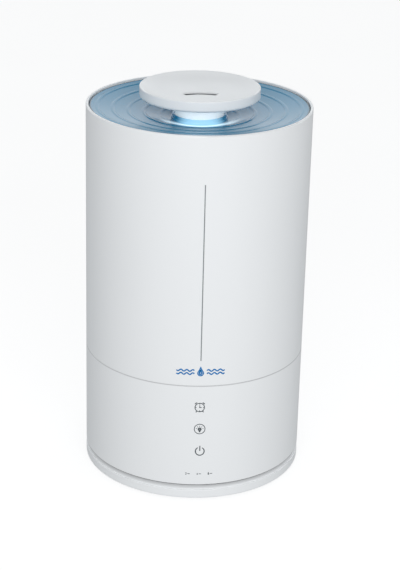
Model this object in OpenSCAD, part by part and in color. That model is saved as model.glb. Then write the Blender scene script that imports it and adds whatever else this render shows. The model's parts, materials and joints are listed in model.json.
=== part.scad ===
// Cool mist humidifier: a round base with the ultrasonic unit, a lift-off
// water tank, a dished translucent lid and a swivelling mist outlet.
// Origin at the centre of the feet, +Z up, the touch controls face -Y.

/* [Body] */
// Outer radius of the base, tank and plinth
body_r = 99; // [98:0.5:101]
// Thickness of the moulded walls
wall = 2.4; // [2.2:0.1:2.6]
// Height that the rubber feet stand proud of the plinth
foot_h = 2; // [1.5:0.1:2.5]
// Height of the plinth ring
plinth_h = 8; // [7.5:0.1:8.5]
// Height of the recessed band above the plinth ring, with its gap
groove_h = 5.8; // [5.5:0.1:6.2]
// Height of the joint between the base and the tank
seam_z = 112.3; // [112:0.1:114]
// Height of the tank's top rim
tank_top_z = 337.7; // [337:0.1:345]

/* [Lid] */
// Drop of the lid from its edge to the inner ring
lid_dish = 6; // [4:0.5:7]
// Depth of the well around the outlet
lid_well = 5.5; // [5:0.1:6]
// Height of the raised ripple rings
ripple_h = 0.5; // [0.3:0.1:0.8]
// Number of ripple rings
ripple_count = 5; // [3:1:5]

/* [Mist outlet] */
// Radius of the outlet cap
cap_r = 52.7; // [50:0.1:54]
// Height of the cap's rim
cap_rim_h = 9.8; // [9.4:0.1:10.2]
// Depth of the dish in the cap's top
cap_dish = 5.6; // [4.5:0.1:5.7]
// Outer radius of the stem under the cap
stem_r = 21.8; // [21.6:0.05:21.9]
// Length of the curved mist slot
slot_len = 30; // [24:1:34]
// Width of the curved mist slot
slot_w = 8; // [6:0.5:9]

/* [Water basin] */
// Radius of the float
float_r = 14; // [12:0.5:14]
// Travel of the float
float_travel = 9; // [6:0.5:9]
// Number of blades on the fan
fan_blades = 7; // [5:1:9]

/* [Hidden] */
$fn = 96;

// Small gap between pieces that fit together but don't touch
gap = 0.3;
// Over-length of a cutting tool past the face that it cuts
cut = 1;

// Levels, from the floor up
plinth_z = foot_h;
plinth_top_z = plinth_z + plinth_h;
housing_z = plinth_top_z + groove_h;
cover_under_z = plinth_z + 2;
cover_floor_z = cover_under_z + wall;
cover_neck_z = housing_z + 4.2;
shoulder_z = housing_z - 1.2;
board_z = cover_floor_z + 7.6;
board_t = 1.6;
board_top_z = board_z + board_t;
ledge_z = seam_z - 8.9;
basin_flange_z = ledge_z + 1.2;
basin_floor_z = seam_z - 29.9;
basin_under_z = basin_floor_z - wall;
well_floor_z = basin_under_z - 8;
tank_z = seam_z + 0.1;
tank_floor_z = tank_z + 4.5;
tank_skirt_z = tank_z - 4.9;
lid_ledge_z = tank_top_z - 14.3;
lid_edge_z = tank_top_z - 1.7;
lid_ring_z = lid_edge_z - lid_dish;
lid_well_z = lid_ring_z - lid_well;
collar_top_z = lid_well_z + 4.5;
cap_top_z = tank_top_z + 15.6;
cap_rim_z = cap_top_z - cap_rim_h;

// Radii
inner_r = body_r - wall - 0.2;
neck_r = inner_r - 0.5;
shoulder_r = body_r - 1.2;
ledge_r = inner_r - 5;
basin_r = inner_r - 8;
basin_inner_r = basin_r - wall;
skirt_r = inner_r - 0.5;
tank_inner_r = body_r - wall;
lid_r = tank_inner_r - 0.4;
stem_inner_r = stem_r - 2.2;
socket_r = stem_r + gap;
collar_r = socket_r + 2.65;
sleeve_r = stem_inner_r - 0.08;
sleeve_inner_r = sleeve_r - 2.1;
chimney_r = stem_r - 0.8;
chimney_inner_r = chimney_r - 2;

// Radius of the flat middle of the cap's dish
dish_flat_r = 20;
// Thickness of the cap's dish
cap_wall = 1.4;

// Plan positions
fan_pos = [-50, 0];
fan_size = 60;
fan_bore_r = 27.5;
fan_h = 15;
fan_z = cover_floor_z + 8.6;
standpipe_r = 17;
standpipe_top_z = basin_floor_z + 18;
valve_pos = [0, 56];
float_pos = [46, -30];
float_clip_z = basin_floor_z + 10.4 + float_travel;
transducer_pos = [0, 6];
transducer_fixings = [90, 210, 330];
light_pos = [0, -13.5];
power_pos = [28, 32];
power_size = [76, 48];
driver_pos = [24, -34];
driver_size = [56, 40];
board_hole_inset = 4;
screw_circle_r = 84;
screw_angles = [30, 150, 210, 330];
foot_circle_r = 80;
foot_angles = [60, 120, 240, 300];
cord_z = 32;
cord_r = 3.5;

// Touch controls: heights of the three keys, and of the row of timer lights
key_z = [48.9, 71, 92];
timer_z = 26.6;
timer_pitch = 10;
touch_board_w = 28;
touch_board_y = -neck_r + 2;

// Valve levels
valve_cap_z = tank_z - 12.5;
valve_seat_z = valve_cap_z + wall;
neck_under_z = valve_seat_z + 0.05;
valve_travel = 4;
plunger_disc_z = valve_seat_z + valve_travel + 1.2;
plunger_tip_z = valve_cap_z - 2.7;

white = [0.95, 0.96, 0.97];
pale_blue = [0.62, 0.78, 0.90];
silicone = [0.80, 0.82, 0.84];
board_green = [0.10, 0.35, 0.20];
steel = [0.70, 0.71, 0.73];
black = [0.12, 0.12, 0.13];

// ---- helpers ----

module disc(r, z0, z1) {
    translate([0, 0, z0]) cylinder(r = r, h = z1 - z0);
}

module tube(r_out, r_in, z0, z1) {
    difference() {
        disc(r_out, z0, z1);
        disc(r_in, z0 - cut, z1 + cut);
    }
}

module on_circle(r, angles) {
    for (a = angles) rotate([0, 0, a]) translate([r, 0, 0]) children();
}

module at(p) {
    translate([p[0], p[1], 0]) children();
}

// Rectangle from (x0, y0) to (x1, y1) with its two outer corners rounded
module rounded_band(x0, y0, x1, y1, low_r, high_r) {
    difference() {
        translate([x0, y0]) square([x1 - x0, y1 - y0]);
        translate([x1 - low_r, y0 - cut]) square([low_r + cut, low_r + cut]);
        translate([x1 - high_r, y1 - high_r]) square([high_r + cut, high_r + cut]);
    }
    translate([x1 - low_r, y0 + low_r]) circle(r = low_r);
    translate([x1 - high_r, y1 - high_r]) circle(r = high_r);
}

// Self-tapping screw, head down at z0, tip at z1
module screw_up(head_r, head_h, shank_r, z0, z1) {
    difference() {
        union() {
            disc(head_r, z0, z0 + head_h);
            disc(shank_r, z0 + head_h, z1);
        }
        for (a = [0, 90]) rotate([0, 0, a])
            translate([-head_r * 0.6, -0.3, z0 - cut]) cube([head_r * 1.2, 0.6, cut + head_h * 0.5]);
    }
}

// Self-tapping screw, head up at z1, tip at z0
module screw_down(head_r, head_h, shank_r, z0, z1) {
    translate([0, 0, z0 + z1]) mirror([0, 0, 1]) screw_up(head_r, head_h, shank_r, z0, z1);
}

// Centres of a board's four fixing holes
function board_holes(p, s) = [
    for (x = [-1, 1], y = [-1, 1])
        [p[0] + x * (s[0] / 2 - board_hole_inset), p[1] + y * (s[1] / 2 - board_hole_inset)]
];

module circuit_board(p, s) {
    difference() {
        translate([p[0] - s[0] / 2, p[1] - s[1] / 2, board_z]) cube([s[0], s[1], board_t]);
        for (h = board_holes(p, s)) at(h) disc(1.3, board_z - cut, board_top_z + cut);
    }
}

function unit(v) = v / norm(v);

// Points of a ring slid along direction d onto the plane through p with normal n
function slide_onto(ring, d, p, n) = [for (q = ring) q + d * (((p - q) * n) / (d * n))];

// Wire of radius r along straight stretches between points, mitred at each bend
module lead(points, r) {
    sides = 8;
    last = len(points) - 1;
    way = [for (i = [0 : last - 1]) unit(points[i + 1] - points[i])];
    face = [for (i = [0 : last]) unit(way[max(i - 1, 0)] + way[min(i, last - 1)])];
    side = unit(cross(way[0], [0.3, 0.5, 0.8]));
    up = cross(way[0], side);
    start = [for (k = [0 : sides - 1]) points[0] + r * (cos(360 * k / sides) * side + sin(360 * k / sides) * up)];
    rings = [
        for (i = 0, ring = start; i <= last;
             i = i + 1, ring = i <= last ? slide_onto(ring, way[i - 1], points[i], face[i]) : ring)
        each ring
    ];
    skin = [
        for (i = [0 : last - 1], k = [0 : sides - 1])
            let (n = (k + 1) % sides)
            [i * sides + k, i * sides + n, (i + 1) * sides + n, (i + 1) * sides + k]
    ];
    near_end = [for (k = [sides - 1 : -1 : 0]) k];
    far_end = [for (k = [0 : sides - 1]) last * sides + k];
    polyhedron(points = rings, faces = concat(skin, [near_end], [far_end]), convexity = 4);
}

// Coil spring standing on z = 0
module coil(coil_r, wire_r, turns, height) {
    sides = 6;
    steps = round(turns * 14);
    rise = (height - 2 * wire_r) / steps;
    ring = [
        for (i = [0 : steps], k = [0 : sides - 1])
            let (a = 360 * turns * i / steps, t = 360 * k / sides, r = coil_r + wire_r * cos(t))
            [r * cos(a), r * sin(a), wire_r + i * rise + wire_r * sin(t)]
    ];
    skin = [
        for (i = [0 : steps - 1], k = [0 : sides - 1])
            let (n = (k + 1) % sides)
            [i * sides + k, (i + 1) * sides + k, (i + 1) * sides + n, i * sides + n]
    ];
    first = [for (k = [0 : sides - 1]) k];
    last = [for (k = [sides - 1 : -1 : 0]) steps * sides + k];
    polyhedron(points = ring, faces = concat(skin, [first], [last]), convexity = 4);
}

// ---- base: casing ----

module rubber_feet() {
    color(black) on_circle(foot_circle_r, foot_angles) {
        translate([0, 0, 0]) cylinder(r1 = 7.2, r2 = 8, h = 0.8);
        disc(8, 0.8, cover_under_z + 0.6);
    }
}

module bottom_cover() {
    color(white) difference() {
        union() {
            rotate_extrude() {
                rounded_band(neck_r - wall - 4, plinth_z, body_r, plinth_top_z, 1.2, 0.6);
                rounded_band(neck_r - wall, plinth_z + 3, shoulder_r, shoulder_z, 0.4, 0.4);
            }
            tube(neck_r, neck_r - wall, cover_under_z, cover_neck_z);
            disc(neck_r - 1, cover_under_z, cover_floor_z);
            on_circle(screw_circle_r, screw_angles) disc(6, cover_floor_z - 1, housing_z + 1.8);
            for (h = concat(board_holes(power_pos, power_size), board_holes(driver_pos, driver_size)))
                at(h) disc(3, cover_floor_z - 1, board_z);
            for (x = [-1, 1], y = [-1, 1])
                at(fan_pos + [x, y] * (fan_size / 2 - 5)) disc(3.6, cover_floor_z - 1, fan_z);
        }
        on_circle(screw_circle_r, screw_angles) {
            disc(4, cover_under_z - cut, cover_under_z + 6.5);
            disc(1.9, cover_under_z, housing_z + 3);
        }
        on_circle(foot_circle_r, foot_angles) disc(8.1, cover_under_z - cut, cover_under_z + 0.6);
        for (h = concat(board_holes(power_pos, power_size), board_holes(driver_pos, driver_size)))
            at(h) disc(1.15, cover_floor_z + 1, board_z + cut);
        for (x = [-1, 1], y = [-1, 1])
            at(fan_pos + [x, y] * (fan_size / 2 - 5)) disc(1.35, cover_floor_z + 1, fan_z + cut);
        intake_slots();
    }
}

// Rows of slots in the cover's floor, under the fan
module intake_slots() {
    slot_pitch = 6;
    for (i = [-4 : 4]) {
        half = sqrt(pow(fan_bore_r - 1, 2) - pow(i * slot_pitch, 2)) - 1.5;
        translate([fan_pos[0] - half, fan_pos[1] + i * slot_pitch - 1.5, cover_under_z - cut])
            cube([2 * half, 3, wall + 2 * cut]);
    }
}

module base_housing() {
    color(white) difference() {
        union() {
            rotate_extrude() difference() {
                rounded_band(ledge_r, housing_z, body_r, seam_z, 0.4, 0.4);
                translate([ledge_r - cut, housing_z - cut])
                    square([inner_r - ledge_r + cut, ledge_z - 2.4 - housing_z + cut]);
                translate([ledge_r - cut, ledge_z])
                    square([inner_r - ledge_r + cut, seam_z - ledge_z + cut]);
            }
            on_circle(screw_circle_r, screw_angles) {
                disc(4.5, housing_z + 2, 62);
                translate([0, -1.2, housing_z + 7]) cube([inner_r - screw_circle_r + 1, 2.4, 38]);
            }
            for (x = [-1, 1])
                translate([x * (touch_board_w / 2 + 1.6) - 1.25, -inner_r + 0.6, 24])
                    cube([2.5, 4.4, 70]);
        }
        on_circle(screw_circle_r, screw_angles) disc(1.55, housing_z + 2 - cut, 34);
        translate([0, body_r - 8, cord_z]) rotate([-90, 0, 0]) cylinder(r = cord_r + 3.6, h = 12);
    }
}

module housing_screws() {
    color(steel) on_circle(screw_circle_r, screw_angles)
        screw_up(3.6, 2.4, 1.5, cover_under_z + 4.1, 31);
}

// Bushing that lines the hole for the mains lead
module cord_grommet() {
    flange_y = inner_r - 3.2;
    color(black) difference() {
        union() {
            translate([0, flange_y, cord_z]) rotate([-90, 0, 0]) cylinder(r = cord_r + 6, h = 2.6);
            translate([0, flange_y, cord_z]) rotate([-90, 0, 0]) cylinder(r = cord_r + 3.5, h = 5.4);
        }
        translate([0, flange_y - cut, cord_z]) rotate([-90, 0, 0]) cylinder(r = cord_r, h = 8);
    }
}

// ---- base: electronics ----

module power_board() {
    color(board_green) circuit_board(power_pos, power_size);
}

module transformer() {
    color([0.85, 0.75, 0.25]) at(power_pos + [16, 2]) {
        translate([-15, -12, board_top_z]) cube([30, 24, 5]);
        translate([-10, -9, board_top_z + 5]) cube([20, 18, 14]);
        translate([-15, -12, board_top_z + 19]) cube([30, 24, 5]);
    }
}

module capacitors() {
    color([0.15, 0.20, 0.45]) {
        at(power_pos + [-26, 10]) disc(7, board_top_z, board_top_z + 25);
        at(power_pos + [-26, -8]) disc(5, board_top_z, board_top_z + 18);
        at(power_pos + [-8, 10]) disc(5, board_top_z, board_top_z + 18);
    }
}

module terminal_block() {
    color([0.15, 0.45, 0.30]) difference() {
        translate([power_pos[0] - 14, power_pos[1] - 20, board_top_z]) cube([20, 9, 10]);
        for (i = [0, 1]) translate([power_pos[0] - 9 + i * 10, power_pos[1] - 15.5, board_top_z + 2])
            cylinder(r = 2, h = 12);
    }
}

module driver_board() {
    color(board_green) circuit_board(driver_pos, driver_size);
}

module driver_heatsink() {
    color([0.80, 0.81, 0.83]) at(driver_pos + [6, 2]) {
        translate([-14, -10, board_top_z]) cube([28, 20, 3]);
        for (i = [0 : 5]) translate([-14 + i * 5.3, -10, board_top_z + 3]) cube([1.5, 20, 14]);
    }
}

module driver_coil() {
    color([0.65, 0.35, 0.15]) at(driver_pos + [-16, -9]) {
        disc(5, board_top_z, board_top_z + 1.5);
        disc(3.8, board_top_z + 1.5, board_top_z + 10);
        disc(5, board_top_z + 10, board_top_z + 11.5);
    }
}

module board_screws() {
    color(steel)
        for (h = concat(board_holes(power_pos, power_size), board_holes(driver_pos, driver_size)))
            at(h) screw_down(2.4, 1.6, 1.1, cover_floor_z + 2, board_top_z + 1.6);
}

// Leads between the boards, the fan, the transducer and the night light
module wiring() {
    top = board_top_z + 0.1;
    rise = board_top_z + 7;
    color([0.75, 0.15, 0.12]) {
        lead([[8, 14, top], [8, 14, rise], [8, -18, rise], [8, -18, top]], 1);
        lead([[12, -36, top], [12, -36, 52], [0, 6, 58], [0, 6, well_floor_z - 2.4]], 0.9);
        lead([[-19.6, -22, 24], [-8, -22, 24], [0, -22, 24], [0, -22, top]], 0.9);
        lead([[-8, touch_board_y + 1.8, 40], [-8, -72, 40], [3, -52, 28], [3, -52, top]], 0.9);
        lead([[0, -17.3, basin_under_z - 5.5], [0, -17.3, 60], [-8, -30, 44], [-1, -30, 28], [-1, -30, top]], 0.7);
    }
}

module touch_board() {
    color(board_green) translate([-touch_board_w / 2, touch_board_y, cover_neck_z + 1])
        cube([touch_board_w, board_t, 77]);
}

// Contact springs behind the three touch keys
module touch_springs() {
    reach = inner_r + touch_board_y - 0.1;
    color([0.85, 0.70, 0.35]) for (z = key_z)
        translate([0, touch_board_y, z]) rotate([90, 0, 0]) coil(3.6, 0.35, 2.5, reach);
}

module timer_leds() {
    color([0.90, 0.92, 0.95]) for (i = [-1 : 1])
        translate([i * timer_pitch, touch_board_y, timer_z])
            rotate([90, 0, 0]) cylinder(r = 1.5, h = 1.2);
}

// ---- base: fan and air path ----

module fan_frame() {
    color(black) at(fan_pos) {
        difference() {
            translate([-fan_size / 2, -fan_size / 2, fan_z]) cube([fan_size, fan_size, fan_h]);
            disc(fan_bore_r, fan_z - cut, fan_z + fan_h + cut);
            for (x = [-1, 1], y = [-1, 1])
                at([x, y] * (fan_size / 2 - 5)) disc(1.6, fan_z - cut, fan_z + fan_h + cut);
        }
        difference() {
            union() {
                disc(12, fan_z, fan_z + 2.4);
                disc(4, fan_z, fan_z + 6);
                for (a = [45 : 90 : 315]) rotate([0, 0, a])
                    translate([10, -1.5, fan_z]) cube([fan_bore_r - 9, 3, 2.4]);
            }
            disc(1.55, fan_z + 1, fan_z + 7);
        }
    }
}

module fan_screws() {
    color(steel) for (x = [-1, 1], y = [-1, 1])
        at(fan_pos + [x, y] * (fan_size / 2 - 5))
            screw_down(2.8, 1.8, 1.3, cover_floor_z + 2, fan_z + fan_h + 1.8);
}

module fan_rotor() {
    hub_r = 13;
    blade_r = fan_bore_r - 1;
    low = fan_z + 3.2;
    high = fan_z + fan_h - 1.5;
    color([0.20, 0.20, 0.22]) at(fan_pos) {
        difference() {
            disc(hub_r, low, high);
            disc(hub_r - 1.5, low - cut, high - 2);
        }
        tube(4, 1.52, high - 4, high - 1);
        intersection() {
            tube(blade_r, hub_r - 0.8, low, high);
            for (i = [0 : fan_blades - 1]) rotate([0, 0, i * 360 / fan_blades])
                translate([hub_r - 2, 0, (low + high) / 2]) rotate([52, 0, 0])
                    translate([0, -8, -0.7]) cube([blade_r, 16, 1.4]);
        }
    }
}

module fan_shaft() {
    color(steel) at(fan_pos) disc(1.5, fan_z + 1.3, fan_z + fan_h - 3.6);
}

module air_duct() {
    base = fan_z + fan_h;
    top = basin_under_z - 1.2;
    color(white) at(fan_pos) difference() {
        union() {
            translate([0, 0, base + 2]) cylinder(r1 = fan_bore_r + 2, r2 = standpipe_r, h = top - base - 2);
            disc(fan_bore_r + 2.2, base, base + 2);
        }
        disc(fan_bore_r, base - cut, base + 2);
        translate([0, 0, base + 1.99])
            cylinder(r1 = fan_bore_r, r2 = standpipe_r - 2, h = top - base - 1.98);
        for (x = [-1, 1], y = [-1, 1])
            at([x, y] * (fan_size / 2 - 5)) disc(3.4, base - cut, base + 4);
    }
}

module duct_gasket() {
    color(silicone) at(fan_pos) tube(standpipe_r, standpipe_r - 2, basin_under_z - 1.2, basin_under_z);
}

// ---- base: water basin ----

module basin_seal() {
    color(silicone) tube(inner_r - 0.6, ledge_r + 0.6, ledge_z, basin_flange_z);
}

module water_basin() {
    color(white) difference() {
        union() {
            disc(basin_r, basin_under_z, basin_floor_z);
            tube(basin_r, basin_inner_r, basin_under_z, basin_flange_z + 2);
            tube(inner_r - 0.3, basin_inner_r, basin_flange_z, basin_flange_z + 2);
            at(transducer_pos) disc(15.4, well_floor_z, basin_floor_z);
            at(transducer_pos) disc(22, well_floor_z, well_floor_z + wall);
            at(transducer_pos) on_circle(18.5, transducer_fixings) disc(3, well_floor_z, basin_floor_z);
            at(fan_pos) disc(standpipe_r, basin_under_z, standpipe_top_z);
            at(float_pos) disc(3, basin_under_z, float_clip_z + 1.2);
            at(valve_pos) disc(1.9, basin_under_z, plunger_tip_z - gap);
        }
        at(transducer_pos) {
            disc(13, well_floor_z + wall, basin_floor_z + cut);
            disc(9, well_floor_z - cut, well_floor_z + 2 * wall);
            on_circle(18.5, transducer_fixings) disc(1.05, well_floor_z - cut, well_floor_z + 6);
        }
        at(fan_pos) disc(standpipe_r - 2, basin_under_z - cut, standpipe_top_z + cut);
        at(light_pos) disc(3.05, basin_under_z - cut, basin_floor_z + cut);
    }
}

module transducer_seal() {
    low = well_floor_z - 3.1;
    color(black) at(transducer_pos) difference() {
        tube(12.5, 8.8, low, well_floor_z);
        disc(10.05, low + 0.9, low + 2.1);
    }
}

module transducer_disc() {
    low = well_floor_z - 3.1;
    color([0.85, 0.80, 0.65]) at(transducer_pos) disc(10, low + 0.95, low + 2.05);
}

module transducer_clamp() {
    low = well_floor_z - 5.6;
    color([0.78, 0.79, 0.81]) at(transducer_pos) difference() {
        union() {
            disc(22, low, low + wall);
            tube(15, 12.6, low, well_floor_z - 0.05);
        }
        disc(7, low - cut, low + wall + cut);
        on_circle(18.5, transducer_fixings) disc(1.2, low - cut, low + wall + cut);
    }
}

module transducer_screws() {
    color(steel) at(transducer_pos) on_circle(18.5, transducer_fixings)
        screw_up(2.2, 1.5, 1, well_floor_z - 7.1, well_floor_z + 5);
}

// Clear plug through the basin's floor that lets the night light shine up the mist tube
module night_light_lens() {
    color([0.75, 0.88, 0.98]) at(light_pos) {
        disc(3, basin_under_z - 1, basin_floor_z + 0.6);
        translate([0, 0, basin_floor_z + 0.6]) intersection() {
            sphere(r = 3);
            disc(4, 0, 4);
        }
    }
}

module night_light_led() {
    top = basin_under_z - 1.2;
    color([0.20, 0.45, 0.90]) at(light_pos) {
        disc(2.5, top - 3, top);
        translate([-4, -5, top - 4.2]) cube([8, 6.6, 1.2]);
    }
}

module float_sensor() {
    color([0.10, 0.35, 0.20]) at(float_pos) {
        translate([-9, -5, basin_under_z - 6]) cube([18, 10, 1.6]);
        translate([-7, 0, basin_under_z - 3]) rotate([0, 90, 0]) cylinder(r = 1.4, h = 14);
    }
}

module float_clip() {
    color(white) at(float_pos) tube(5.5, 3.05, float_clip_z, float_clip_z + 1.6);
}

module float() {
    low = basin_floor_z + 0.4;
    color([0.92, 0.93, 0.94]) at(float_pos) difference() {
        disc(float_r, low, low + 9.6);
        disc(3.4, low - cut, low + 12);
        translate([0, 0, low - cut]) tube(8.1, 4.9, 0, 4);
    }
}

module float_magnet() {
    low = basin_floor_z + 0.4;
    color([0.35, 0.35, 0.37]) at(float_pos) tube(8, 5, low + 0.1, low + 2.9);
}

// ---- tank ----

module tank_shell() {
    color(white) rotate_extrude() difference() {
        rounded_band(tank_inner_r - 4.6, tank_z, body_r, tank_top_z, 0.2, 1.1);
        translate([0, tank_z - cut]) square([tank_inner_r, lid_ledge_z - 2.4 - tank_z + cut]);
        translate([0, lid_ledge_z]) square([tank_inner_r, tank_top_z - lid_ledge_z + cut]);
        translate([tank_inner_r, tank_top_z]) circle(r = 0.4);
    }
}

module tank_floor() {
    under = tank_floor_z - 2.4;
    color(white) difference() {
        union() {
            disc(tank_inner_r - 0.05, under, tank_floor_z);
            tube(skirt_r, skirt_r - wall, tank_skirt_z, under + 1);
            disc(chimney_r + 2.6, under, tank_floor_z + 8);
            at(valve_pos) disc(14.5, neck_under_z, tank_floor_z);
        }
        disc(chimney_r + 0.05, under - cut, tank_floor_z + 9);
        at(valve_pos) difference() {
            disc(12, neck_under_z - cut, tank_floor_z + cut);
            difference() {
                translate([-12.5, -2.5, under]) cube([25, 5, 2.4]);
                disc(2.08, under - cut, tank_floor_z + cut);
            }
        }
    }
}

module valve_cap() {
    color([0.88, 0.90, 0.92]) at(valve_pos) {
        tube(17, 14.6, valve_cap_z, tank_floor_z - 3.2);
        difference() {
            disc(17, valve_cap_z, valve_seat_z);
            disc(5, valve_cap_z - cut, valve_seat_z + cut);
        }
    }
}

module valve_plunger() {
    color(white) at(valve_pos) {
        disc(2, plunger_tip_z, tank_floor_z + 4.2);
        disc(8, plunger_disc_z, plunger_disc_z + 1.5);
    }
}

module valve_seal() {
    color(silicone) at(valve_pos) tube(7.6, 2.02, plunger_disc_z - 1.15, plunger_disc_z);
}

module valve_spring() {
    under = tank_floor_z - 2.4;
    color(steel) at(valve_pos) translate([0, 0, plunger_disc_z + 1.5])
        coil(3.4, 0.35, 4, under - plunger_disc_z - 1.5);
}

module mist_tube() {
    color(white) tube(chimney_r, chimney_inner_r, tank_floor_z - 6.5, lid_well_z - 12.5);
}

module mist_tube_seal() {
    color(silicone) {
        tube(chimney_r + 2.5, chimney_r + 0.02, tank_floor_z + 8, tank_floor_z + 10);
        tube(chimney_r + 0.75, chimney_r + 0.02, lid_well_z - 15.5, lid_well_z - 13.5);
    }
}

// ---- lid ----

// Height of the lid's top face at radius r, without its ripples
function lid_face(r) = r > 45
    ? lid_ring_z + lid_dish * pow((r - 45) / (lid_r - 46.2), 1.3)
    : lid_well_z + lid_well * pow(sin(90 * (r - 27) / 18), 2);

function ripple_r(i) = 35 + i * 13.55;

// Radius and height of the points along the lid's top face, ripple by ripple
function lid_top() = [
    for (i = [0 : ripple_count - 1], s = [-1.5, -1.1, 1.1, 1.5])
        let (r = ripple_r(i) + s)
        [r, lid_face(r) + (abs(s) < 1.3 ? ripple_h : 0)]
];

function lid_smooth(r0, r1, n) = [for (i = [0 : n]) let (r = r0 + (r1 - r0) * i / n) [r, lid_face(r)]];

function lid_profile() = concat(
    [[socket_r, lid_well_z - wall], [socket_r, lid_well_z]],
    lid_smooth(27, 33, 5),
    [for (i = [0 : ripple_count - 1])
        each concat(
            [for (k = [0 : 3]) lid_top()[i * 4 + k]],
            i < ripple_count - 1 ? lid_smooth(ripple_r(i) + 3, ripple_r(i + 1) - 3, 3) : [])],
    [[lid_r - 1.2, lid_face(lid_r - 1.2)], [lid_r - 0.4, lid_edge_z - 0.1], [lid_r, lid_edge_z - 0.6]],
    [[lid_r, lid_ledge_z + 1.2], [lid_r - 2.6, lid_ledge_z + 1.2]],
    [for (p = lid_smooth(lid_r - 2.6, 28.5, 24)) [p[0], p[1] - wall]]
);

module lid() {
    color(pale_blue) {
        rotate_extrude() polygon(lid_profile());
        tube(socket_r + 2.5, socket_r, lid_well_z - 16.5, lid_well_z);
        tube(socket_r + 1, stem_inner_r, lid_well_z - 10.5, lid_well_z - 8.5);
    }
}

module lid_gasket() {
    color(silicone) tube(lid_r - 0.1, lid_r - 2.5, lid_ledge_z + 0.3, lid_ledge_z + 1.2);
}

// Stepped ring around the foot of the stem that the night light shines through
module glow_collar() {
    step_r = collar_r - 0.9;
    step_z = lid_well_z + 2.3;
    color([0.25, 0.55, 0.95]) rotate_extrude() polygon([
        [socket_r, lid_well_z], [collar_r, lid_well_z], [collar_r, step_z - 0.5],
        [collar_r - 0.5, step_z], [step_r, step_z], [step_r, collar_top_z - 0.5],
        [step_r - 0.5, collar_top_z], [socket_r, collar_top_z],
    ]);
}

// ---- mist outlet ----

module nozzle_stem() {
    color(white) tube(stem_r, stem_inner_r, lid_well_z - 8.2, cap_rim_z - 7.4);
}

// Height of the dish in the cap's top at radius r
function dish_face(r) = cap_top_z - cap_dish
    + (r > dish_flat_r ? cap_dish * pow((r - dish_flat_r) / (cap_r - 1.6 - dish_flat_r), 3) : 0);

function cap_radii(r_out, n) = [0, each [for (i = [0 : n]) dish_flat_r + (r_out - dish_flat_r) * i / n]];

function cap_profile() = concat(
    [for (r = cap_radii(cap_r - 2.4, 14)) [r, dish_face(r)]],
    [for (a = [120 : -20 : 0]) [cap_r - 1 + cos(a), cap_top_z - 1 + sin(a)]],
    [for (a = [0 : -15 : -90]) [cap_r - 2.5 + 2.5 * cos(a), cap_rim_z + 2.5 + 2.5 * sin(a)]],
    [[cap_r - 3.2, cap_rim_z], [cap_r - 3.2, cap_rim_z + 2.2]],
    [for (i = [0 : 12]) let (r = cap_r - 3.2 - (cap_r - 3.2 - dish_flat_r) * i / 12) [r, dish_face(r) - cap_wall]],
    [[0, dish_face(0) - cap_wall]]
);

module nozzle_cap() {
    bend_r = 34;
    half_angle = slot_len / 2 / bend_r * 180 / PI;
    color(white) difference() {
        rotate_extrude() polygon(cap_profile());
        translate([0, -bend_r - 4.5, cap_top_z - 15])
            rotate([0, 0, 90 - half_angle])
                rotate_extrude(angle = 2 * half_angle)
                    translate([bend_r - slot_w / 2, 0]) square([slot_w, 20]);
    }
}

// Cone that closes the cap from below, with the sleeve that turns in the stem
module cap_underside() {
    rim = cap_r - 3.5;
    foot = cap_rim_z - 7.1;
    color(white) {
        rotate_extrude() polygon([
            [sleeve_inner_r, foot], [stem_r, foot], [rim - 1.5, cap_rim_z], [rim, cap_rim_z],
            [rim, cap_rim_z + 1.8], [rim - 1.5, cap_rim_z + 1.8], [stem_r - 0.5, foot + 2],
            [sleeve_inner_r, foot + 2],
        ]);
        tube(sleeve_r, sleeve_inner_r, foot - 6.8, foot + 1);
    }
}

rubber_feet();
bottom_cover();
base_housing();
housing_screws();
cord_grommet();
power_board();
transformer();
capacitors();
terminal_block();
driver_board();
driver_heatsink();
driver_coil();
board_screws();
wiring();
touch_board();
touch_springs();
timer_leds();
fan_frame();
fan_screws();
air_duct();
duct_gasket();
fan_rotor();
fan_shaft();
basin_seal();
water_basin();
transducer_seal();
transducer_disc();
transducer_clamp();
transducer_screws();
night_light_lens();
night_light_led();
float_sensor();
float_clip();
float();
float_magnet();
tank_shell();
tank_floor();
valve_cap();
mist_tube();
mist_tube_seal();
valve_plunger();
valve_seal();
valve_spring();
lid();
lid_gasket();
glow_collar();
nozzle_stem();
nozzle_cap();
cap_underside();
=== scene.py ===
import json
import math

import bpy
from mathutils import Matrix, Vector

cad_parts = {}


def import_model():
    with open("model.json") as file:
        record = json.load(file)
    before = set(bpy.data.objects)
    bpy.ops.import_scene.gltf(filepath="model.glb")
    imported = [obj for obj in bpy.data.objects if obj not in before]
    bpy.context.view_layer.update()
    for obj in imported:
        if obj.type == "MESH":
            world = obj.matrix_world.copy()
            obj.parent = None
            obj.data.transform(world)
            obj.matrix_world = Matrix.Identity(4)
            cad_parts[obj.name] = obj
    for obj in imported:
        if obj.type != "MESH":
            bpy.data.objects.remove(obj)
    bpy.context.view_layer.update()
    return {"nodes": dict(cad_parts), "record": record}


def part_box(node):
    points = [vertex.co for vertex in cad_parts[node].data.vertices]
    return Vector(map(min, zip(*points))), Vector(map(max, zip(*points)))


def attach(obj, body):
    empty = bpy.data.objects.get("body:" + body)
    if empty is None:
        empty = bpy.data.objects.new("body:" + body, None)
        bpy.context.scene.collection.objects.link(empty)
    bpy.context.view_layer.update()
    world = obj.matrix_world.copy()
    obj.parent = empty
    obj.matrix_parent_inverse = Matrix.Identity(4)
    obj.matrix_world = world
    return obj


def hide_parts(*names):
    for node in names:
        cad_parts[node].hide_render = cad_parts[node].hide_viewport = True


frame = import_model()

MM = 0.001

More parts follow.
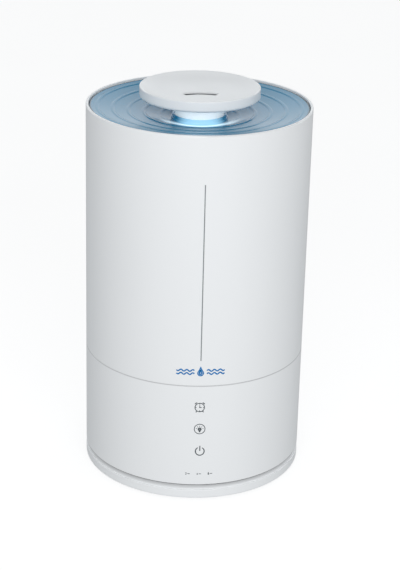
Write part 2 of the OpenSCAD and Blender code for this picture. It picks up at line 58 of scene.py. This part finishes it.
# Driving places, taken from the frame (metres)
BODY_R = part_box("tank_shell")[1].x
SEAM, TANK_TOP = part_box("tank_shell")[0].z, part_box("tank_shell")[1].z
HOUSING_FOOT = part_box("base_housing")[0].z
LID_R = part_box("lid")[1].x
LID_LOW, LID_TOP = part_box("lid")[0].z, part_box("lid")[1].z
COLLAR_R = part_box("glow_collar")[1].x
COLLAR_LOW, COLLAR_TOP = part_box("glow_collar")[0].z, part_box("glow_collar")[1].z
TIMER_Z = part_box("timer_leds")[0].z + 1.5 * MM

# Heights of the three touch keys on the base
CLOCK_Z, LAMP_Z, POWER_Z = 92 * MM, 71 * MM, 48.9 * MM


# ---------------------------------------------------------------- materials

# Places of the colour sockets on a Mix node
MIX_FIRST, MIX_SECOND, MIX_RESULT = 6, 7, 2


class Nodes:
    """Short hand for building one node material on a Principled surface."""

    def __init__(self, name):
        self.material = bpy.data.materials.new(name)
        self.material.use_nodes = True
        self.tree = self.material.node_tree
        self.surface = self.tree.nodes["Principled BSDF"]
        self.place = self.add("ShaderNodeTexCoord").outputs["Object"]

    def add(self, kind, **settings):
        node = self.tree.nodes.new(kind)
        for key, value in settings.items():
            if key in node.inputs:
                node.inputs[key].default_value = value
            else:
                setattr(node, key, value)
        return node

    def link(self, output, node, name):
        self.tree.links.new(output, node.inputs[name])

    def set(self, **values):
        for key, value in values.items():
            self.surface.inputs[key.replace("_", " ")].default_value = value

    def noise(self, scale, detail=3.0, stretch=(1, 1, 1)):
        """Noise in the object's own coordinates."""
        mapping = self.add("ShaderNodeMapping")
        mapping.inputs["Scale"].default_value = stretch
        self.link(self.place, mapping, "Vector")
        noise = self.add("ShaderNodeTexNoise", Scale=scale, Detail=detail)
        self.link(mapping.outputs["Vector"], noise, "Vector")
        return noise.outputs["Fac"]

    def ramp(self, source, low, high, start=0.3, end=0.7):
        """Colours from low to high as source goes from start to end."""
        ramp = self.add("ShaderNodeValToRGB")
        for stop, place, colour in zip(ramp.color_ramp.elements, (start, end), (low, high)):
            stop.position = place
            stop.color = (*colour[:3], 1)
        self.link(source, ramp, "Fac")
        return ramp.outputs["Color"]

    def map(self, source, start, end, low, high, kind="LINEAR"):
        """Low to high as source goes from start to end, and flat beyond."""
        span = self.add("ShaderNodeMapRange", interpolation_type=kind)
        for name, value in zip(("From Min", "From Max", "To Min", "To Max"), (start, end, low, high)):
            span.inputs[name].default_value = value
        self.link(source, span, "Value")
        return span.outputs["Result"]

    def range(self, source, low, high):
        """Low to high over the middle of a noise."""
        return self.map(source, 0.3, 0.7, low, high)

    def smooth(self, source, start, end, low, high):
        return self.map(source, start, end, low, high, "SMOOTHSTEP")

    def math(self, operation, first, second=0.0):
        """One Math node of two outputs or numbers."""
        node = self.add("ShaderNodeMath", operation=operation)
        for i, value in enumerate((first, second)):
            if isinstance(value, float):
                node.inputs[i].default_value = value
            else:
                self.link(value, node, i)
        return node.outputs[0]

    def mix(self, factor, first, second):
        """The output first where factor is 0, and the plain colour second where it is 1."""
        node = self.add("ShaderNodeMix", data_type="RGBA")
        self.link(factor, node, "Factor")
        self.link(first, node, MIX_FIRST)
        node.inputs[MIX_SECOND].default_value = (*second, 1)
        return node.outputs[MIX_RESULT]

    def axes(self):
        """X, Y and Z in the object's own coordinates."""
        split = self.add("ShaderNodeSeparateXYZ")
        self.link(self.place, split, 0)
        return split.outputs

    def radius(self):
        """Distance from the upright axis."""
        x, y, _ = self.axes()
        flat = self.add("ShaderNodeCombineXYZ")
        self.link(x, flat, "X")
        self.link(y, flat, "Y")
        length = self.add("ShaderNodeVectorMath", operation="LENGTH")
        self.link(flat.outputs[0], length, 0)
        return length.outputs["Value"]

    def glow(self, near, far, strength, front, side):
        """Strength at the object's front, fading from radius near to far and towards the sides."""
        fade = self.smooth(self.radius(), near, far, 1.0, 0.0)
        ahead = self.smooth(self.axes()[1], -front * near, -side * near, strength, 0.0)
        return self.math("MULTIPLY", fade, ahead)

    def bump(self, source, strength, depth):
        bump = self.add("ShaderNodeBump", Strength=strength, Distance=depth)
        self.link(source, bump, "Height")
        self.link(bump.outputs["Normal"], self.surface, "Normal")


def shade(colour, factor):
    """A lighter or darker version of a colour."""
    return tuple(min(1.0, c * factor) for c in colour[:3])


def flow_marks(n, colour, mottle):
    """A colour with the faint, upright mottling of moulded plastic."""
    return n.ramp(n.noise(14, 4, (1, 1, 0.4)), shade(colour, 1 - mottle), shade(colour, 1 + mottle))


def moulded(name, colour, rough, mottle=0.02, grain=0.02, grain_size=900, soft=0.0, lit=0.0):
    """Moulded plastic or rubber: faint flow mottling, uneven gloss and a fine grain."""
    n = Nodes(name)
    n.link(flow_marks(n, colour, mottle), n.surface, "Base Color")
    n.link(n.range(n.noise(60, 3), rough * 0.92, rough * 1.1), n.surface, "Roughness")
    n.bump(n.noise(grain_size, 2), grain, GRAIN_DEPTH)
    if soft:
        n.set(Subsurface_Weight=soft, Subsurface_Scale=1.5 * MM)
    # Painted glow: an option to give the plastic a faint emission, as if light shone through it.
    if lit:
        n.set(Emission_Color=(*STEM_LIGHT, 1), Emission_Strength=lit)
    return n.material


def metal(name, colour, rough, brushed=(1, 1, 1)):
    """Metal with fine streaks, drawn out along the axes that brushed shrinks."""
    n = Nodes(name)
    streaks = n.noise(700, 3, brushed)
    n.link(n.ramp(streaks, shade(colour, 0.9), shade(colour, 1.06)), n.surface, "Base Color")
    n.link(n.range(streaks, rough * 0.8, rough * 1.25), n.surface, "Roughness")
    n.bump(streaks, 0.05, GRAIN_DEPTH)
    n.set(Metallic=1.0)
    return n.material


def circuit(name, colour):
    """Solder mask with copper traces showing through as slightly paler lines."""
    n = Nodes(name)
    cells = n.add("ShaderNodeTexVoronoi", Scale=260.0, feature="DISTANCE_TO_EDGE", distance="MANHATTAN")
    n.link(n.place, cells, "Vector")
    traces = n.ramp(cells.outputs["Distance"], shade(colour, 1.8), colour, 0.04, 0.09)
    n.link(traces, n.surface, "Base Color")
    n.link(n.range(n.noise(90), 0.3, 0.42), n.surface, "Roughness")
    n.bump(cells.outputs["Distance"], 0.1, 0.03 * MM)
    return n.material


def clear_plastic(name, colour, rough=0.04, weight=0.9, ior=1.49, glow=None, strength=0.0):
    """Polished tinted plastic that light passes through."""
    n = Nodes(name)
    tint = n.ramp(n.noise(18, 2), shade(colour, 0.97), shade(colour, 1.02))
    n.link(tint, n.surface, "Base Color")
    n.link(n.range(n.noise(50), rough * 0.8, rough * 1.3), n.surface, "Roughness")
    n.set(Transmission_Weight=weight, IOR=ior)
    if glow:
        n.set(Emission_Color=(*glow, 1), Emission_Strength=strength)
    return n.material


def lid_blue(colour, lit):
    """Blue plastic with painted shade at its very edge, where the gap to the tank's rim falls dark, and a
    painted glow of the night light's spill on it before the collar.
    """
    n = Nodes("blue_lid")
    # Painted shade: the colour darkens over the outermost two millimetres, standing in for the gap's shadow.
    edge = n.smooth(n.radius(), LID_R - 2.0 * MM, LID_R - 1.2 * MM, 0.0, 1.0)
    tint = n.ramp(n.noise(12, 2), shade(colour, 0.97), shade(colour, 1.03))
    n.link(n.mix(edge, tint, shade(colour, 0.35)), n.surface, "Base Color")
    n.set(Roughness=0.17, IOR=1.5, Specular_IOR_Level=0.32, Emission_Color=(*lit, 1))
    # Painted light: emission that makes a pale pool on the lid in front of the collar, fading with radius and
    # towards the sides.
    spill = n.glow(COLLAR_R + 5 * MM, COLLAR_R + 18 * MM, 0.75, front=0.85, side=0.25)
    n.link(spill, n.surface, "Emission Strength")
    return n.material


def collar_blue(colour, lit):
    """Blue ring with a painted glow, palest at the front, standing in for the night light shining through it
    and the front lamp's highlight.
    """
    n = Nodes("blue_glow")
    n.link(n.ramp(n.noise(40, 2), shade(colour, 0.95), shade(colour, 1.05)), n.surface, "Base Color")
    n.set(Roughness=0.08, IOR=1.5, Emission_Color=(*lit, 1))
    # Painted glow and highlight: emission strongest at the front of the ring, fading towards the sides.
    glow = n.glow(COLLAR_R + 1 * MM, COLLAR_R + 2 * MM, 0.6, front=0.93, side=0.45)
    n.link(glow, n.surface, "Emission Strength")
    return n.material


def seam_shaded_white(colour):
    """White moulding with painted shade along the joint between the base and the tank, where the gap falls
    dark.
    """
    n = Nodes("seam_shaded_white")
    off = n.math("ABSOLUTE", n.math("SUBTRACT", n.axes()[2], SEAM))
    # Painted shade: the colour darkens within a millimetre of the joint.
    near = n.smooth(off, 0.35 * MM, 0.8 * MM, 1.0, 0.0)
    plain = flow_marks(n, colour, WHITE_MOTTLE)
    n.link(n.mix(near, plain, shade(colour, 0.72)), n.surface, "Base Color")
    n.link(n.range(n.noise(60, 3), 0.31, 0.37), n.surface, "Roughness")
    n.bump(n.noise(900, 2), 0.02, GRAIN_DEPTH)
    return n.material


def groove_shaded_cover(colour):
    """White moulding with painted shade: greyer over the strip under the housing, and darkest inside the gap,
    where the shadow falls.
    """
    n = Nodes("groove_shaded_cover")
    height = n.axes()[2]
    shoulder = HOUSING_FOOT - 1.3 * MM
    # Painted shade: the colour darkens up the strip below the housing and most inside the gap under it.
    painted_band_shade = n.smooth(height, shoulder - 4.3 * MM, shoulder, 0.0, 0.5)
    painted_gap_shade = n.smooth(height, shoulder, shoulder + 0.4 * MM, 0.0, 0.5)
    ramp = n.add("ShaderNodeValToRGB")
    ramp.color_ramp.elements.new(0.5)
    for stop, factor in zip(ramp.color_ramp.elements, (1.0, 0.62, 0.08)):
        stop.color = (*shade(colour, factor), 1)
    n.link(n.math("ADD", painted_band_shade, painted_gap_shade), ramp, "Fac")
    n.link(ramp.outputs["Color"], n.surface, "Base Color")
    n.link(n.range(n.noise(60, 3), 0.31, 0.37), n.surface, "Roughness")
    return n.material


def ink(name, colour):
    """Printing ink, slightly uneven in colour and gloss."""
    n = Nodes(name)
    n.link(n.ramp(n.noise(500), shade(colour, 0.9), shade(colour, 1.1)), n.surface, "Base Color")
    n.link(n.range(n.noise(300), 0.4, 0.55), n.surface, "Roughness")
    return n.material


WHITE = (0.86, 0.87, 0.88)
WHITE_MOTTLE = 0.008
GRAIN_DEPTH = 0.02 * MM
# Colour of the stem's painted glow.
STEM_LIGHT = (0.85, 0.95, 1.0)
FINISHES = {
    "white_plastic": moulded("white_plastic", WHITE, 0.34, WHITE_MOTTLE, 0.02),
    "natural_plastic": moulded("natural_plastic", (0.80, 0.82, 0.83), 0.42, 0.015, 0.03),
    "blue_lid": lid_blue((0.03, 0.23, 0.40), (0.80, 0.96, 1.0)),
    "blue_glow": collar_blue((0.0, 0.22, 0.42), (0.62, 0.90, 1.0)),
    "black_plastic": moulded("black_plastic", (0.022, 0.022, 0.024), 0.5, 0.1, 0.1),
    "foot_rubber": moulded("foot_rubber", (0.03, 0.03, 0.032), 0.75, 0.15, 0.25, 500),
    "silicone": moulded("silicone", (0.66, 0.69, 0.71), 0.5, 0.03, 0.05, 400, soft=0.3),
    "black_seal": moulded("black_seal", (0.02, 0.02, 0.02), 0.6, 0.1, 0.1),
    "circuit_board": circuit("circuit_board", (0.02, 0.14, 0.06)),
    "transformer_tape": moulded("transformer_tape", (0.62, 0.48, 0.06), 0.35, 0.08, 0.1, 300),
    "capacitor_sleeve": moulded("capacitor_sleeve", (0.02, 0.035, 0.14), 0.25, 0.05, 0.02),
    "terminal_green": moulded("terminal_green", (0.03, 0.22, 0.10), 0.4, 0.04, 0.05),
    "copper": metal("copper", (0.72, 0.34, 0.15), 0.32, (1, 1, 30)),
    "spring_gold": metal("spring_gold", (0.82, 0.62, 0.30), 0.25),
    "zinc_steel": metal("zinc_steel", (0.60, 0.61, 0.64), 0.3),
    "aluminium": metal("aluminium", (0.74, 0.75, 0.77), 0.38, (1, 12, 1)),
    "ceramic": moulded("ceramic", (0.62, 0.57, 0.42), 0.3, 0.06, 0.05),
    "magnet": metal("magnet", (0.10, 0.10, 0.11), 0.55),
    "lead_red": moulded("lead_red", (0.45, 0.03, 0.02), 0.45, 0.05, 0.05),
    "clear_lens": clear_plastic("clear_lens", (0.90, 0.96, 1.0), 0.02, 0.95),
    "led_white": moulded("led_white", (0.80, 0.83, 0.86), 0.3, 0.02, 0.02),
    "led_blue": clear_plastic("led_blue", (0.15, 0.40, 0.95), 0.1, 0.5, 1.5, (0.05, 0.35, 1.0), 2.0),
}
GROOVE_SHADED_COVER = groove_shaded_cover(WHITE)
SEAM_SHADED_WHITE = seam_shaded_white(WHITE)
# Painted glow: the stem's white plastic brightened by a faint emission, as if the night light shone through
# it.
LIT_STEM = moulded("lit_stem", WHITE, 0.34, WHITE_MOTTLE, 0.02, lit=0.2)
GREY_INK = ink("grey_ink", (0.075, 0.09, 0.10))
LINE_INK = ink("line_ink", (0.22, 0.24, 0.25))
BLUE_INK = ink("blue_ink", (0.0, 0.17, 0.46))


def dress_cad():
    """Every CAD node takes the material of its slot, or its own version of it."""
    # The own versions carry painted light: shade at the seam and under the housing, and a glow in the stem.
    own = {"nozzle_stem": LIT_STEM, "bottom_cover": GROOVE_SHADED_COVER,
           "base_housing": SEAM_SHADED_WHITE, "tank_shell": SEAM_SHADED_WHITE}
    for row in frame["record"]["subparts"]:
        node = frame["nodes"][row["node"]]
        node.data.materials.clear()
        node.data.materials.append(own.get(row["node"]) or FINISHES[row["material_slot"]])


# ---------------------------------------------------------------- mesh helpers

def add_piece(name, verts, faces, material, body, replaces=(), slot=None, sharp=35):
    """A smooth-shaded mesh that rides on body, with edges above sharp degrees kept crisp."""
    mesh = bpy.data.meshes.new(name)
    mesh.from_pydata(verts, [], faces)
    mesh.validate()
    mesh.shade_smooth()
    mesh.set_sharp_from_angle(angle=math.radians(sharp))
    mesh.materials.append(material)
    piece = bpy.data.objects.new(name, mesh)
    bpy.context.scene.collection.objects.link(piece)
    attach(piece, body)
    if replaces:
        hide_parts(*replaces)


def rounded(corners, steps=6):
    """Closed profile from (r, z, fillet) corners, each fillet as an arc."""
    points = []
    for i, (r, z, fillet) in enumerate(corners):
        here = Vector((r, z))
        before = Vector(corners[i - 1][:2])
        after = Vector(corners[(i + 1) % len(corners)][:2])
        if fillet <= 0:
            points.append(here)
            continue
        u, v = (before - here).normalized(), (after - here).normalized()
        half = u.angle(v) / 2
        reach = fillet / math.tan(half)
        centre = here + (u + v).normalized() * fillet / math.sin(half)
        a, b = here + u * reach - centre, here + v * reach - centre
        turn = a.angle_signed(b)
        for k in range(steps + 1):
            angle = -turn * k / steps
            points.append(centre + Vector((a.x * math.cos(angle) - a.y * math.sin(angle),
                                           a.x * math.sin(angle) + a.y * math.cos(angle))))
    return [(p.x, p.y) for p in points]


def lathe(name, profile, material, body, turns=192, **settings):
    """A closed ring-shaped (r, z) profile turned about Z; an anticlockwise profile faces outwards."""
    angles = [2 * math.pi * k / turns for k in range(turns)]
    verts = [(r * math.cos(a), r * math.sin(a), z) for r, z in profile for a in angles]
    faces = []
    for i in range(len(profile)):
        ring, above = i * turns, (i + 1) % len(profile) * turns
        for k in range(turns):
            n = (k + 1) % turns
            faces.append([ring + k, ring + n, above + n, above + k])
    add_piece(name, verts, faces, material, body, **settings)


# ---------------------------------------------------------------- printed marks

# The ink stands this far out of the wall, and reaches this far into it
INK_UP = 0.03 * MM
INK_DOWN = 0.2 * MM


def on_front(u, v, lift):
    """Point on the body's front at u across and v up, in metres."""
    angle = u / BODY_R
    r = BODY_R + lift
    return (r * math.sin(angle), -r * math.cos(angle), v)


def stroke(path, width, closed, verts, faces):
    """Adds a printed line of one width along the vectors (u, v) of path to verts and faces."""
    count = len(path)
    base = len(verts)
    for i, p in enumerate(path):
        before = path[i - 1] if closed or i else p
        after = path[(i + 1) % count] if closed or i < count - 1 else p
        along = (after - before).normalized()
        side = Vector((-along.y, along.x)) * width / 2
        for offset in (-side, side):
            for lift in (-INK_DOWN, INK_UP):
                verts.append(on_front(p.x + offset.x, p.y + offset.y, lift))
    for i in range(count if closed else count - 1):
        a, b = base + 4 * i, base + 4 * ((i + 1) % count)
        faces += [[a + 1, b + 1, b + 3, a + 3], [a, a + 2, b + 2, b],
                  [a, b, b + 1, a + 1], [a + 2, a + 3, b + 3, b + 2]]
    if not closed:
        end = base + 4 * (count - 1)
        faces += [[base, base + 1, base + 3, base + 2], [end, end + 2, end + 3, end + 1]]


def printed(name, lines, across, up, material, body):
    """One piece of ink from (points, width, closed) lines in millimetres about (across, up) in metres."""
    verts, faces = [], []
    for points, width, closed in lines:
        path = [Vector((across + x * MM, up + y * MM)) for x, y in points]
        stroke(path, width * MM, closed, verts, faces)
    add_piece(name, verts, faces, material, body, sharp=60)


def arc(cx, cy, r, start, end, steps=40):
    """Points on a circle from start to end degrees."""
    turns = [math.radians(start + (end - start) * k / steps) for k in range(steps + 1)]
    return [(cx + r * math.cos(a), cy + r * math.sin(a)) for a in turns]


def ring_points(cx, cy, r, steps=48):
    return arc(cx, cy, r, 0, 360 - 360 / steps, steps - 1)


def spokes(cx, cy, near, far, angles, width):
    """Short lines from radius near to radius far at each angle in degrees."""
    lines = []
    for a in angles:
        c, s = math.cos(math.radians(a)), math.sin(math.radians(a))
        lines.append(([(cx + c * near, cy + s * near), (cx + c * far, cy + s * far)], width, False))
    return lines


def clock_mark():
    """An alarm clock: face, bells, feet, quarter marks and hands."""
    lines = [(ring_points(0, 0, 4.1), 0.75, True)]
    for side in (-1, 1):
        lines.append(([(side * 2.4, 4.7), (side * 4.4, 3.2)], 0.9, False))
        lines.append(([(side * 2.6, -3.4), (side * 3.3, -4.7)], 0.9, False))
    lines += spokes(0, 0, 2.8, 3.7, (0, 90, 180, 270), 0.6)
    lines += [([(0, 2.2), (0, -0.4)], 0.7, False), ([(-0.3, -0.1), (1.7, -0.1)], 0.7, False)]
    printed("timer_symbol", lines, 0, CLOCK_Z, GREY_INK, "base")


def lamp_mark():
    """A lamp with rays in a ring."""
    lines = [(ring_points(0, 0, 4.7), 0.7, True), (ring_points(0, -0.2, 1.0, 32), 1.5, True),
             ([(0, -1.4), (0, -3.1)], 1.5, False)]
    lines += spokes(0, -0.3, 2.5, 3.5, (15, 52, 90, 128, 165), 0.5)
    printed("light_symbol", lines, 0.4 * MM, LAMP_Z, GREY_INK, "base")


def power_mark():
    """The usual open ring with an upright bar."""
    lines = [(arc(0, 0.2, 3.9, 118, 422), 0.95, False), ([(0, 0.6), (0, 5.6)], 0.95, False)]
    printed("power_symbol", lines, 1.0 * MM, POWER_Z, GREY_INK, "base")


DIGITS = {
    "2": [(-0.5, 0.55), (-0.3, 0.95), (0.3, 0.95), (0.5, 0.55), (0.3, 0.1), (-0.5, -1.0), (0.55, -1.0)],
    "4": [(0.3, -1.0), (0.3, 1.0), (-0.6, -0.4), (0.65, -0.4)],
    "8": [(0.0, 0.05), (0.45, 0.4), (0.3, 0.9), (-0.3, 0.9), (-0.45, 0.4), (0.0, 0.05), (0.55, -0.4),
          (0.35, -1.0), (-0.35, -1.0), (-0.55, -0.4), (0.0, 0.05)],
}


def timer_marks(pitch):
    """The hours of the three timer lamps, and a short dash after each."""
    lines = []
    for i, digit in enumerate("248"):
        middle = (i - 1) * pitch - 0.8
        lines.append(([(middle + x, y) for x, y in DIGITS[digit]], 0.45, False))
        lines.append(([(middle + 1.3, 0), (middle + 3.4, 0)], 0.6, False))
    printed("timer_hours", lines, 0, TIMER_Z, GREY_INK, "base")


def drop_outline(cy, r, height, sides=5):
    """A water drop about x = 0: a round foot whose two sides narrow to a point."""
    foot = arc(0, cy, r, 160, 380, 28)
    rise = [k / (sides + 1) for k in range(1, sides + 1)]

    def side(end, t):
        return (end[0] * (1 - t) ** 1.4, end[1] + (cy + height - end[1]) * t)

    return (foot + [side(foot[-1], t) for t in rise] + [(0, cy + height)]
            + [side(foot[0], t) for t in reversed(rise)])


def water_mark():
    """Plain water symbol in blue: one drop between two pairs of ripples."""
    lines = [(drop_outline(-0.9, 2.5, 5.9), 1.0, True), (drop_outline(-0.9, 1.1, 3.0), 1.4, True)]
    steps, length, waves = 45, 15.5, 3
    for side in (-1, 1):
        for row in (-1.5, 1.5):
            wave = [(side * (5.5 + length * k / steps), row + 0.8 * math.sin(2 * math.pi * waves * k / steps))
                    for k in range(steps + 1)]
            lines.append((wave, 1.25, False))
    printed("water_symbol", lines, 0, SEAM + 13.5 * MM, BLUE_INK, "tank")


def front_line():
    """The thin upright line printed on the tank, from its low end up."""
    length, steps = 159.4, 8
    points = [(0, length * k / steps) for k in range(steps + 1)]
    printed("front_line", [(points, 0.9, False)], 0, TANK_TOP - 201.1 * MM, LINE_INK, "tank")


# ---------------------------------------------------------------- shells

WALL = 2.4 * MM
SOCKET_R = COLLAR_R - 2.65 * MM
SOCKET_WALL = 2.5 * MM

# The lid's well round the outlet, from its floor to the ring where the dish starts
WELL_Z, WELL_R = COLLAR_LOW, 26 * MM
RING_Z, RING_R = WELL_Z + 5.5 * MM, 49 * MM

# Radius and height of each ripple on the lid, the first one lying in the well
RIPPLES = [(35 * MM, 0.15 * MM)] + [((35 + i * 13.55) * MM, 0.35 * MM) for i in range(1, 5)]


def smooth_step(t):
    t = min(1.0, max(0.0, t))
    return t * t * (3 - 2 * t)


def lid_smooth(r):
    """Height of the lid's top face without its ripples: a conical well, then a shallow dish."""
    if r > RING_R:
        return RING_Z + (LID_TOP - RING_Z) * ((r - RING_R) / (LID_R - 1.2 * MM - RING_R)) ** 1.3
    return WELL_Z + (RING_Z - WELL_Z) * min(1.0, max(0.0, (r - WELL_R) / (RING_R - WELL_R)))


def lid_face(r):
    """Height of the lid's top face with its ripples."""
    return lid_smooth(r) + sum(rise * smooth_step((2.0 * MM - abs(r - middle)) / (1.3 * MM))
                               for middle, rise in RIPPLES)


def lid_shell():
    """The whole lid in one closed profile, from the socket's foot round the skirt and the top face."""
    socket_out = SOCKET_R + SOCKET_WALL
    skirt_in, skirt_low = LID_R - 2.6 * MM, LID_TOP - 11.4 * MM
    edge = 0.8 * MM
    first, pitch = 27, 0.33
    top = [(first + pitch * k) * MM for k in range(int((LID_R / MM - 1.2 - first) / pitch) + 1)]
    under = [skirt_in - k * 2.6 * MM for k in range(25)]
    profile = [(SOCKET_R, LID_LOW), (socket_out, LID_LOW), (socket_out, WELL_Z - WALL - 0.6 * MM),
               (socket_out + 0.6 * MM, WELL_Z - WALL)]
    profile += [(r, lid_smooth(r) - WALL) for r in reversed(under)]
    profile += [(skirt_in, skirt_low), (LID_R - 0.3 * MM, skirt_low), (LID_R, skirt_low + 0.3 * MM)]
    profile += [(LID_R - edge * (1 - math.cos(a)), LID_TOP - edge * (1 - math.sin(a)))
                for a in [math.radians(15 * k) for k in range(7)]]
    profile += [(r, lid_face(r)) for r in reversed(top)]
    profile += [(SOCKET_R + 3.5 * MM, WELL_Z), (SOCKET_R, WELL_Z)]

    # The ledge inside the socket that the stem stands on
    ledge_in, ledge_low, ledge_top = SOCKET_R - SOCKET_WALL, LID_LOW + 6 * MM, LID_LOW + 8 * MM
    profile += [(SOCKET_R, ledge_top), (ledge_in, ledge_top), (ledge_in, ledge_low), (SOCKET_R, ledge_low)]
    lathe("lid_shell", profile, FINISHES["blue_lid"], "lid", replaces=("lid",), slot="blue_lid", sharp=40)


def collar():
    """Stepped ring round the foot of the stem."""
    step_r, step_z = COLLAR_R - 0.9 * MM, COLLAR_LOW + 2.3 * MM
    profile = rounded([(SOCKET_R, COLLAR_LOW, 0), (COLLAR_R, COLLAR_LOW, 0), (COLLAR_R, step_z, 0.6 * MM),
                       (step_r, step_z, 0.15 * MM), (step_r, COLLAR_TOP, 0.6 * MM),
                       (SOCKET_R + 0.4 * MM, COLLAR_TOP, 0.2 * MM), (SOCKET_R, COLLAR_TOP - 0.4 * MM, 0)])
    lathe("collar_ring", profile, FINISHES["blue_glow"], "lid", replaces=("glow_collar",), slot="blue_glow")


# ---------------------------------------------------------------- stage

def paper():
    """Backdrop paper, bright enough to stay white round the object's soft shadow."""
    n = Nodes("backdrop_paper")
    n.link(n.ramp(n.noise(3, 2), (0.345,) * 3, (0.355,) * 3), n.surface, "Base Color")
    n.set(Roughness=0.9, Specular_IOR_Level=0.0, Emission_Color=(1, 1, 1, 1), Emission_Strength=0.74)
    return n.material


def floor():
    """A sheet of the paper that the object stands on, which lights nothing itself."""
    half = 6.0
    corners = [(-half, -half, 0), (half, -half, 0), (half, half, 0), (-half, half, 0)]
    mesh = bpy.data.meshes.new("floor")
    mesh.from_pydata(corners, [], [[0, 1, 2, 3]])
    mesh.materials.append(paper())
    piece = bpy.data.objects.new("floor", mesh)
    piece.visible_diffuse = False
    piece.visible_glossy = False
    bpy.context.scene.collection.objects.link(piece)


def softbox(name, place, aim, size, power):
    light = bpy.data.lights.new(name, "AREA")
    light.shape = "RECTANGLE"
    light.size, light.size_y = size
    light.energy = power
    lamp = bpy.data.objects.new(name, light)
    lamp.location = place
    lamp.rotation_mode = "QUATERNION"
    lamp.rotation_quaternion = (Vector(aim) - Vector(place)).to_track_quat("-Z", "Y")
    bpy.context.scene.collection.objects.link(lamp)


def world():
    """Even grey studio light, paler behind the object and darker below it."""
    studio = bpy.data.worlds.new("studio")
    bpy.context.scene.world = studio
    studio.use_nodes = True
    tree = studio.node_tree
    tree.nodes.clear()
    add = tree.nodes.new

    def step(source, start, end, low, high):
        node = add("ShaderNodeMapRange")
        node.interpolation_type = "SMOOTHSTEP"
        tree.links.new(source, node.inputs["Value"])
        for name, value in zip(("From Min", "From Max", "To Min", "To Max"), (start, end, low, high)):
            node.inputs[name].default_value = value
        return node.outputs["Result"]

    def combine(operation, a, b):
        node = add("ShaderNodeMath")
        node.operation = operation
        tree.links.new(a, node.inputs[0])
        tree.links.new(b, node.inputs[1])
        return node.outputs[0]

    axes = add("ShaderNodeSeparateXYZ")
    tree.links.new(add("ShaderNodeTexCoord").outputs["Generated"], axes.inputs[0])
    across, depth, height = axes.outputs
    behind = combine("MULTIPLY", step(depth, 0.2, 0.75, 0.0, 1.0), step(height, 0.4, 0.7, 1.0, 0.0))
    above = combine("MULTIPLY", step(height, -0.02, 0.15, 0.0, 1.0), step(behind, 0.0, 1.0, 0.02, 0.95))
    shine = add("ShaderNodeBackground")
    shine.inputs["Color"].default_value = (0.95, 0.98, 1.0, 1)
    tree.links.new(combine("ADD", above, step(across, -1.0, 1.0, 0.49, 0.51)), shine.inputs["Strength"])
    out = add("ShaderNodeOutputWorld")
    tree.links.new(shine.outputs[0], out.inputs["Surface"])


def camera():
    """A long lens from in front and above, a little to the left of the controls."""
    around, pan, tilt, roll = (math.radians(a) for a in (-3.7, -0.176, -22.15, 1.447))
    distance, height = 1371.8 * MM, 725.3 * MM
    data = bpy.data.cameras.new("camera")
    data.sensor_width = 36.0
    data.lens = 102.9
    data.clip_end = 50
    shot = bpy.data.objects.new("camera", data)
    place = (distance * math.sin(around), -distance * math.cos(around), height)
    shot.matrix_world = (Matrix.Translation(place)
                         @ Matrix.Rotation(around + pan, 4, "Z")
                         @ Matrix.Rotation(math.radians(90) + tilt, 4, "X")
                         @ Matrix.Rotation(roll, 4, "Z"))
    bpy.context.scene.collection.objects.link(shot)
    bpy.context.scene.camera = shot


camera()
dress_cad()
lid_shell()
collar()
clock_mark()
lamp_mark()
power_mark()
timer_marks(pitch=10)
water_mark()
front_line()
floor()
world()
softbox("front", (0.0, -1.8, 0.85), (0, 0, 0.22), (1.8, 0.8), 20)
bpy.context.scene.view_settings.view_transform = "Standard"
